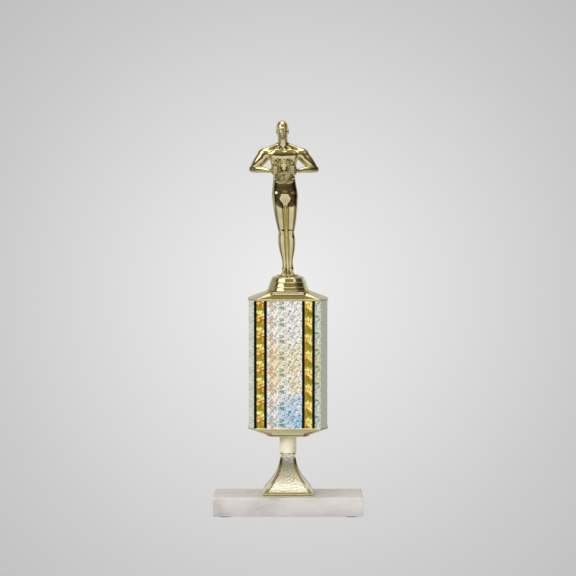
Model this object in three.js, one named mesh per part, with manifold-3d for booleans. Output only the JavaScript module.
// Bowling-league award trophy: a marble slab, a flared square riser, a flat-octagon column between two
// lids, a stepped dome and a standing figure that holds a laurel wreath. One threaded rod clamps the stack.
// Millimetres, +Z up, origin in the middle of the footprint on the table. The figure faces -Y.
import * as THREE from "three";
import { ConvexGeometry } from "three/addons/geometries/ConvexGeometry.js";
import { mergeVertices } from "three/addons/utils/BufferGeometryUtils.js";
import Module from "manifold-3d";

const wasm = await Module();
wasm.setup();

// ---- driving dimensions -------------------------------------------------------------------------
const SEAT = 0.05; // glue-line gap between stacked pieces
const FIT = 0.3; // radial clearance round the rod, the stud and the wreath

const PAD = { radius: 6, height: 1.2, inset: 10 };
const SLAB = { width: 127, depth: 50.8, height: 16, bevel: 1.3, foot: 0.7, recessR: 11.5, recess: 10.5 };
const ROD = { radius: 3.175, bore: 3.6 };
const RISER = { foot: 21.1, neck: 6.5, height: 35, wall: 1.6, lip: 2.2, border: 2.7, panel: 0.5 };
const SLEEVE = { radius: 7.2, bore: 4, height: 15.4 };
const COLUMN = { width: 66.6, depth: 38.1, cutX: 5.4, cutY: 8.2, height: 108, board: 1.4, film: 0.25 };
const LID = { overhang: 0.7, rim: 1.2, slope: 3.2, collar: 3, collarWidth: 36, hipDepth: 30, wall: 1.3,
  roof: 2.8, spigot: 6 };
const STRIPE = { blackWidth: 10.8, goldWidth: 6.3, thick: 0.2, leftX: -23.3, rightX: 17.2, gap: 0.03 };
const DOME = { height: 12.5, footR: 17.6, topR: 12.6, bossR: 8.5, wall: 1.5 };
const HEX = { flats: 11.1, nut: 5.4, head: 4, coupling: 22 };
const WASHER = { radius: 10, height: 1.5 };
const LOCK = { radius: 5.9, height: 1.6, split: 1.6 };
const STUD = { tip: 15.2 };
const PLINTH = { radius: 9.2, height: 0.9 };
const LEAN = Math.tan((2.2 * Math.PI) / 180); // the figure leans this much towards -X above its plinth
const WREATH = { y: -11.6, depth: 5, round: 1.1, holeX: 2.9, holeZ: 3.1, hole: 92.5 };
const WREATH_OUTLINE = [[0, 78.2], [4.6, 82.2], [7.9, 86.9], [8.7, 90.6], [7.6, 94.3], [4.2, 97.1], [0, 98.1]];

// ---- heights of the stack -----------------------------------------------------------------------
const Z = {};
Z.slab = PAD.height + SEAT;
Z.riser = Z.slab + SLAB.height + SEAT;
Z.sleeve = Z.riser + RISER.height + SEAT;
Z.lowerLid = Z.sleeve + SLEEVE.height + SEAT;
const LID_HEIGHT = LID.collar + LID.slope + LID.rim;
Z.column = Z.lowerLid + LID_HEIGHT + SEAT;
Z.upperLid = Z.column + COLUMN.height + SEAT;
Z.dome = Z.upperLid + LID_HEIGHT + SEAT;
Z.figure = Z.dome + DOME.height + SEAT;
Z.recessTop = Z.slab + SLAB.recess;

// ---- materials ----------------------------------------------------------------------------------
const paint = (color, roughness, metalness) =>
  new THREE.MeshStandardMaterial({ color, roughness, metalness });
const GOLD = paint(0xc9a94e, 0.15, 1);
const MARBLE = paint(0xe4dcd6, 0.25, 0);
const FELT = paint(0x23211f, 0.95, 0);
const STEEL = paint(0xb9bcc0, 0.35, 1);
const CREAM = paint(0xe6dcae, 0.35, 0.3);
const SILVER_FOIL = paint(0xccd2cf, 0.3, 1);
const GOLD_FOIL = paint(0xd0a21c, 0.3, 1);
const BLACK_TAPE = paint(0x0c0c09, 0.4, 0);
const BOARD = paint(0xa98d68, 0.9, 0);

// ---- solids -------------------------------------------------------------------------------------
// A closed three.js geometry as a solid that can be cut and joined.
function solid(geometry) {
  const bare = geometry.clone();
  bare.deleteAttribute("normal");
  bare.deleteAttribute("uv");
  const merged = mergeVertices(bare, 1e-4);
  const made = new wasm.Manifold(
    new wasm.Mesh({
      numProp: 3,
      vertProperties: merged.attributes.position.array,
      triVerts: new Uint32Array(merged.index.array),
    }),
  );
  if (made.volume() < 0) throw new Error("a geometry faces inwards");
  return made;
}

const join = (...solids) => solids.reduce((all, one) => all.add(one));

const root = new THREE.Group();
const figureGroup = new THREE.Group();
root.add(figureGroup);

// Adds a solid or a geometry as one named mesh.
function piece(name, shape, material, parent = root) {
  let geometry = shape;
  if (!shape.isBufferGeometry) {
    const mesh = shape.getMesh();
    geometry = new THREE.BufferGeometry();
    geometry.setAttribute("position", new THREE.BufferAttribute(mesh.vertProperties, 3));
    geometry.setIndex(new THREE.BufferAttribute(mesh.triVerts, 1));
    geometry.computeVertexNormals();
  }
  const made = new THREE.Mesh(geometry, material);
  made.name = name;
  parent.add(made);
  return made;
}

// An upright cylinder from z0 to z1.
function rod(radius, z0, z1, sides = 32) {
  const g = new THREE.CylinderGeometry(radius, radius, z1 - z0, sides);
  return g.rotateX(Math.PI / 2).translate(0, 0, (z0 + z1) / 2);
}

// An upright hexagon bar, across flats.
function hexBar(flats, z0, z1) {
  return rod(flats / Math.sqrt(3), z0, z1, 6);
}

// A ring of revolution from [radius, height] points, closed on itself or on the axis, about Z.
function turned(points, segments) {
  const profile = points.map(([r, z]) => new THREE.Vector2(r, z));
  return new THREE.LatheGeometry(profile, segments).rotateX(Math.PI / 2);
}

// The eight corners of an octagon that is wider than deep, at height z.
function octagon(width, depth, cutX, cutY, z) {
  const corners = [];
  for (const [sx, sy] of [[1, 1], [-1, 1], [-1, -1], [1, -1]]) {
    const cut = [
      new THREE.Vector3(sx * (width / 2), sy * (depth / 2 - cutY), z),
      new THREE.Vector3(sx * (width / 2 - cutX), sy * (depth / 2), z),
    ];
    corners.push(...(sx * sy > 0 ? cut : cut.reverse()));
  }
  return corners;
}

// A straight-sided solid between two octagons.
const octagonSolid = (low, high) => solid(new ConvexGeometry([...octagon(...low), ...octagon(...high)]));

// The column's octagon grown outwards by an amount, from z0 to z1.
function columnBar(grow, z0, z1) {
  const section = (z) =>
    [COLUMN.width + 2 * grow, COLUMN.depth + 2 * grow, COLUMN.cutX + grow * 0.5, COLUMN.cutY + grow * 0.5, z];
  return octagonSolid(section(z0), section(z1));
}

// A slab outline extruded along its own Z, then turned to lie along X or Y.
function extruded(outline, length) {
  const shape = new THREE.Shape(outline.map(([x, y]) => new THREE.Vector2(x, y)));
  const g = new THREE.ExtrudeGeometry(shape, { depth: length, bevelEnabled: false });
  return g.translate(0, 0, -length / 2);
}

// ---- base ---------------------------------------------------------------------------------------
function bevelledOutline(width) {
  const w = width / 2;
  const { height: h, bevel: b, foot: f } = SLAB;
  return [[-w + f, 0], [w - f, 0], [w, f], [w, h - b], [w - b, h], [-w + b, h], [-w, h - b], [-w, f]];
}

function marbleSlab() {
  const alongY = solid(extruded(bevelledOutline(SLAB.width), SLAB.depth * 2).rotateX(Math.PI / 2));
  const alongX = solid(
    extruded(bevelledOutline(SLAB.depth), SLAB.width * 2).rotateX(Math.PI / 2).rotateZ(Math.PI / 2),
  );
  return alongY
    .intersect(alongX)
    .subtract(solid(rod(ROD.bore, -1, SLAB.height + 1)))
    .subtract(solid(rod(SLAB.recessR, -1, SLAB.recess, 48)));
}

piece("marble_base", marbleSlab(), MARBLE).position.z = Z.slab;

const padPlaces = { front_left: [-1, -1], front_right: [1, -1], rear_left: [-1, 1], rear_right: [1, 1] };
for (const [place, [sx, sy]] of Object.entries(padPlaces)) {
  const pad = piece("felt_pad_" + place, rod(PAD.radius, 0, PAD.height, 28), FELT);
  pad.position.x = sx * (SLAB.width / 2 - PAD.inset);
  pad.position.y = sy * (SLAB.depth / 2 - PAD.inset);
}

// ---- clamp hardware -----------------------------------------------------------------------------
function drilled(bar, radius, z0, z1) {
  return solid(bar).subtract(solid(rod(radius, z0 - 1, z1 + 1)));
}

const washerLow = Z.recessTop - SEAT - WASHER.height;
piece("flat_washer", drilled(rod(WASHER.radius, washerLow, Z.recessTop - SEAT, 40), ROD.bore, washerLow,
  Z.recessTop), STEEL);

const lockLow = washerLow - SEAT - LOCK.height;
const lockSlit = new THREE.BoxGeometry(LOCK.radius * 2, LOCK.split, LOCK.height * 3);
lockSlit.translate(LOCK.radius, 0, lockLow);
piece("lock_washer", drilled(rod(LOCK.radius, lockLow, lockLow + LOCK.height, 36), ROD.radius + FIT, lockLow,
  lockLow + LOCK.height).subtract(solid(lockSlit)), STEEL);

const nutHigh = lockLow - SEAT;
piece("base_nut", drilled(hexBar(HEX.flats, nutHigh - HEX.nut, nutHigh), ROD.radius + FIT, nutHigh - HEX.nut,
  nutHigh), STEEL);

const studTip = Z.dome - STUD.tip;
const couplingHigh = Z.dome - SEAT - LID.roof - SEAT;
const rodHigh = studTip - 1;
piece("tie_rod", rod(ROD.radius, nutHigh - HEX.nut - 1, rodHigh, 24), STEEL);
piece("coupling_nut", drilled(hexBar(HEX.flats, couplingHigh - HEX.coupling, couplingHigh), ROD.radius + FIT,
  couplingHigh - HEX.coupling, couplingHigh), STEEL);

// ---- riser --------------------------------------------------------------------------------------
// Half-width of the flared square at a series of heights, foot first.
function riserFlare() {
  const flare = new THREE.CubicBezierCurve(
    new THREE.Vector2(RISER.foot - 0.3, RISER.lip),
    new THREE.Vector2(15.8, 10.5),
    new THREE.Vector2(6.4, 17.2),
    new THREE.Vector2(RISER.neck, RISER.height),
  );
  return flare.getPoints(12).map((p) => [p.x, p.y]);
}

// A square solid of revolution: four sides, flats facing X and Y.
const squareTurned = (points) =>
  solid(turned(points.map(([half, z]) => [half * Math.SQRT2, z]), 4).rotateZ(Math.PI / 4));

function riser() {
  const flare = riserFlare();
  const outer = squareTurned([[0, 0], [RISER.foot, 0], [RISER.foot, RISER.lip - 0.3], ...flare,
    [0, RISER.height]]);
  const shrink = (by) => flare.slice(0, -1).map(([half, z]) => [half - by, z]);
  const core = squareTurned([[0, -1], [RISER.foot - RISER.panel, -1], ...shrink(RISER.panel),
    [0, RISER.height - 2]]);
  const hollow = squareTurned([[0, -1], [RISER.foot - RISER.wall, -1], ...shrink(RISER.wall),
    [0, RISER.height - 2]]);
  const inPanel = flare.filter(([half, z]) => z > RISER.lip + 0.5 && half > RISER.border + 3.9);
  const right = inPanel.map(([half, z]) => [half - RISER.border, z]);
  const left = right.map(([half, z]) => [-half, z]).reverse();
  const window = extruded([...right, ...left], RISER.foot * 4).rotateX(Math.PI / 2);
  const across = window.clone().rotateZ(Math.PI / 2);
  const cut = join(solid(window), solid(across)).subtract(core);
  return outer.subtract(cut).subtract(hollow).subtract(solid(rod(ROD.bore, -1, RISER.height + 1)));
}

piece("flared_riser", riser(), GOLD).position.z = Z.riser;

const sleeveTop = SLEEVE.height;
piece("neck_sleeve", turned([
  [SLEEVE.bore, 0], [SLEEVE.radius - 0.4, 0], [SLEEVE.radius, 0.4], [SLEEVE.radius, sleeveTop - 0.4],
  [SLEEVE.radius - 0.4, sleeveTop], [SLEEVE.bore, sleeveTop], [SLEEVE.bore, 0],
], 40), CREAM).position.z = Z.sleeve;

// ---- lids ---------------------------------------------------------------------------------------
// A lid, collar up: rim at z 0, hip slope, stepped collar on top, spigot that enters the column below.
function lid() {
  const rimSize = [COLUMN.width + 2 * LID.overhang, COLUMN.depth + 2 * LID.overhang];
  const rimCut = [COLUMN.cutX + 0.8, COLUMN.cutY + 0.8];
  const collarCut = [4.2, 4.2 * (rimCut[1] / rimCut[0])];
  const collar = (grow, z) => [LID.collarWidth + grow, LID.collarWidth + grow, ...collarCut, z];
  const hipTop = (z) => [LID.collarWidth, LID.hipDepth, ...collarCut, z];
  const slopeTop = LID.rim + LID.slope;
  const top = slopeTop + LID.collar;
  const step = LID.collar / 3;
  const outside = join(
    octagonSolid([...rimSize, ...rimCut, 0], [...rimSize, ...rimCut, LID.rim]),
    octagonSolid([...rimSize, ...rimCut, LID.rim], hipTop(top - 0.1)),
    octagonSolid([...rimSize, ...rimCut, LID.rim], collar(0, slopeTop)),
    octagonSolid(collar(0, slopeTop), collar(0, slopeTop + step)),
    octagonSolid(collar(-1.4, slopeTop + step), collar(-1.4, slopeTop + 2 * step)),
    octagonSolid(collar(-0.4, slopeTop + 2 * step), collar(-0.4, top)),
  );
  const cave = [COLUMN.width - 3, COLUMN.depth - 3, ...rimCut];
  const inside = octagonSolid([...cave, -1], [...collar(-2 * LID.wall - 6, top - LID.roof)]);
  const fitInside = -(COLUMN.film + SEAT + COLUMN.board + FIT);
  const spigot = columnBar(fitInside, -LID.spigot, LID.rim)
    .subtract(columnBar(fitInside - LID.wall, -LID.spigot - 1, LID.rim + 1));
  return outside.subtract(inside).add(spigot).subtract(solid(rod(ROD.bore, -1, top + 1)));
}

const lidSolid = lid();
const lowerLid = piece("lower_lid", lidSolid, GOLD);
lowerLid.rotation.x = Math.PI;
lowerLid.position.z = Z.lowerLid + LID_HEIGHT;
piece("upper_lid", lidSolid, GOLD).position.z = Z.upperLid;

// ---- column -------------------------------------------------------------------------------------
const columnGroup = new THREE.Group();
columnGroup.position.z = Z.column;
root.add(columnGroup);

const boardGrow = -(COLUMN.film + SEAT);
piece("column_tube", columnBar(boardGrow, 0, COLUMN.height)
  .subtract(columnBar(boardGrow - COLUMN.board, -1, COLUMN.height + 1)), BOARD, columnGroup);

// The foil wraps the tube and its two edges meet at the rear.
const seam = new THREE.BoxGeometry(0.4, COLUMN.depth, COLUMN.height * 3).translate(0, COLUMN.depth / 2, 0);
piece("silver_foil_wrap", columnBar(0, 0, COLUMN.height)
  .subtract(columnBar(-COLUMN.film, -1, COLUMN.height + 1))
  .subtract(solid(seam)), SILVER_FOIL, columnGroup);

// Each stripe is black tape with a narrower gold foil on it. The rear repeats the front.
for (const [face, side] of [["front", -1], ["rear", 1]]) {
  for (const [hand, x] of [["left", STRIPE.leftX], ["right", STRIPE.rightX]]) {
    const layers = [["black_tape", STRIPE.blackWidth, BLACK_TAPE], ["gold_foil", STRIPE.goldWidth, GOLD_FOIL]];
    layers.forEach(([label, width, material], layer) => {
      const strip = new THREE.BoxGeometry(width, STRIPE.thick, COLUMN.height - 0.2);
      const made = piece(`${label}_${face}_${hand}`, strip, material, columnGroup);
      const out = COLUMN.depth / 2 + (layer + 1) * STRIPE.gap + (layer + 0.5) * STRIPE.thick;
      made.position.set(x, side * out, COLUMN.height / 2);
    });
  }
}

// ---- dome under the figure ----------------------------------------------------------------------
// Three bands, each a little wider than the one above, on a rolled foot.
function dome() {
  const { footR, topR, height, wall, bossR } = DOME;
  const bands = [
    [footR, 0], [footR, 0.9], [footR - 0.9, 3.3], [footR - 1.3, 3.7], [footR - 2.3, 7.4], [footR - 2.7, 7.8],
    [footR - 3.9, 10.9], [topR, 11.9], [topR - 1.6, height - 0.1], [topR - 3, height],
  ];
  const outer = solid(turned([[0, 0], ...bands, [0, height]], 56));
  const cave = solid(turned([[bossR, -1], [footR - wall, -1], [footR - wall - 1.6, 4.4],
    [footR - 2 * wall - 2.4, 10], [topR - wall - 1, height - wall - 0.6], [bossR, height - wall - 0.6],
    [bossR, -1]], 40));
  const headLow = height - 2.5 - HEX.head;
  return outer
    .subtract(cave)
    .subtract(solid(hexBar(HEX.flats + 2 * FIT, headLow - FIT, headLow + HEX.head + FIT)))
    .subtract(solid(rod(ROD.radius + FIT, -1, headLow)));
}

piece("figure_base", dome(), GOLD, figureGroup).position.z = Z.dome;

const studHead = Z.dome + DOME.height - 2.5 - HEX.head;
piece("figure_stud", join(solid(rod(ROD.radius, studTip, studHead + 0.5, 24)),
  solid(hexBar(HEX.flats, studHead, studHead + HEX.head))), STEEL, figureGroup);

// ---- figure -------------------------------------------------------------------------------------
const v3 = (x, y, z) => new THREE.Vector3(x, y, z);

function ball(centre, radii, around = 12, up = 8) {
  const g = new THREE.SphereGeometry(1, around, up);
  return solid(g.rotateX(Math.PI / 2).scale(...radii).translate(centre.x, centre.y, centre.z));
}

// A round limb from a to b. Its radius runs through the given list, and its ends are half balls.
function limb(a, b, radii) {
  const length = a.distanceTo(b);
  const first = radii[0];
  const last = radii[radii.length - 1];
  const swell = new THREE.SplineCurve(radii.map((r, i) => new THREE.Vector2(r, (length * i) / (radii.length - 1))));
  const low = [[0, -first], [first * 0.5, -first * 0.87], [first * 0.87, -first * 0.5]];
  const high = [[last * 0.87, length + last * 0.5], [last * 0.5, length + last * 0.87], [0, length + last]];
  const body = swell.getPoints(radii.length + 1).map((p) => [p.x, p.y]);
  const g = turned([...low, ...body, ...high], 10);
  const turn = new THREE.Quaternion().setFromUnitVectors(v3(0, 0, 1), b.clone().sub(a).normalize());
  return solid(g.applyQuaternion(turn).translate(a.x, a.y, a.z));
}

// Landmarks of the right half, from the soles at z 0 to the crown at z 131.3. The left half mirrors it.
const BODY = {
  ankle: v3(2.3, 1.4, 5), calf: v3(3.55, 1.1, 28), knee: v3(3.5, 0, 36.5), hip: v3(5.3, 0.2, 64),
  waist: v3(0, 0.2, 83), chest: v3(0, 0.3, 98.5), neck: v3(0, 0.9, 109), skull: v3(0, -0.2, 123.9),
  shoulder: v3(15.3, 0.7, 102.5), elbow: v3(26.3, -0.2, 90.1), wrist: v3(11.4, -9.9, 89.3),
  hand: v3(8.7, -12.2, 89.6),
};

function oneSide(sign) {
  const at = (p) => v3(p.x * sign, p.y, p.z);
  const { ankle, calf, knee, hip, shoulder, elbow, wrist, hand } = BODY;
  return [
    ball(v3(3.1 * sign, -2.6, 1.9), [2.7, 7.2, 2.3]),
    ball(v3(2.7 * sign, 2.4, 3), [2.2, 3, 3.2]),
    limb(at(ankle), at(calf), [2.2, 2.1, 3.1, 3.6]),
    limb(at(calf), at(knee), [3.6, 3.45, 3.3]),
    limb(at(knee), at(hip), [3.3, 4.5, 5.2, 5.7]),
    ball(v3(5.3 * sign, 3.4, 66.5), [5.4, 4.6, 6.6]),
    ball(v3(5.2 * sign, -3.6, 100), [6.2, 3.7, 5.4]),
    ball(at(shoulder), [5.8, 5.2, 5.6]),
    limb(v3(3.5 * sign, 1.4, 109.2), v3(11 * sign, 1, 105), [2.9, 3.1]),
    limb(at(shoulder), at(elbow), [5.1, 5.2, 4.3, 2.9]),
    limb(at(elbow), at(wrist), [2.8, 3, 2.1, 1.6]),
    ball(at(hand), [2.5, 2.2, 3.3]),
    limb(v3(9.6 * sign, -13.4, 90), v3(5.6 * sign, -15.1, 90.2), [1.7, 1.2]),
    ball(v3(4.95 * sign, 0.6, 122.9), [0.7, 1.2, 1.7], 8, 6),
  ];
}

// The wreath's mass: a shield outline with one round hole, its edges rounded over; grow makes it larger.
function wreath(grow) {
  const right = WREATH_OUTLINE.map(([x, z]) => new THREE.Vector2(x, z));
  const left = WREATH_OUTLINE.slice(1, -1).map(([x, z]) => new THREE.Vector2(-x, z)).reverse();
  const outline = new THREE.Shape([...right, ...left]);
  const hole = new THREE.Path();
  hole.absellipse(0, WREATH.hole, WREATH.holeX, WREATH.holeZ, 0, Math.PI * 2);
  outline.holes.push(hole);
  const depth = WREATH.depth - 2 * WREATH.round;
  const g = new THREE.ExtrudeGeometry(outline, {
    depth,
    curveSegments: 7,
    bevelSegments: 2,
    bevelSize: WREATH.round + grow,
    bevelThickness: WREATH.round + grow,
    bevelOffset: -WREATH.round,
  });
  return solid(g.translate(0, 0, -depth / 2).rotateX(Math.PI / 2).translate(0, WREATH.y, 0));
}

// Shears a solid sideways above the plinth, so that the soles stay flat on it.
function leaned(upright) {
  return upright.warp((p) => {
    p[0] -= LEAN * Math.max(0, p[2] - PLINTH.height);
  });
}

function figure() {
  const { waist, chest, neck, skull } = BODY;
  const middle = [
    solid(rod(PLINTH.radius, 0, PLINTH.height, 32)),
    limb(v3(0, 1.2, 3), v3(0, 0.8, 62), [1.3, 1.3, 1.5]),
    ball(v3(0, 0.4, 67), [10.6, 6.3, 9.5], 18, 10),
    ball(waist, [8.7, 5.7, 13], 18, 10),
    ball(chest, [12.4, 6.6, 10.5], 18, 10),
    limb(neck, v3(0, 0.3, 118), [4.1, 3.9, 3.9]),
    ball(skull, [5.1, 6.3, 7.4], 16, 10),
    ball(v3(0, -1.7, 119), [3.9, 4.4, 4.7]),
    limb(v3(0, -6, 123.5), v3(0, -6.6, 121.3), [0.5, 0.85]),
  ];
  const floor = new THREE.BoxGeometry(60, 60, 20).translate(0, 0, -10);
  return join(...middle, ...oneSide(1), ...oneSide(-1)).subtract(wreath(FIT)).subtract(solid(floor));
}

piece("figure", leaned(figure()), GOLD, figureGroup).position.z = Z.figure;

piece("laurel_wreath", leaned(wreath(0)), GOLD, figureGroup).position.z = Z.figure;

export default root;
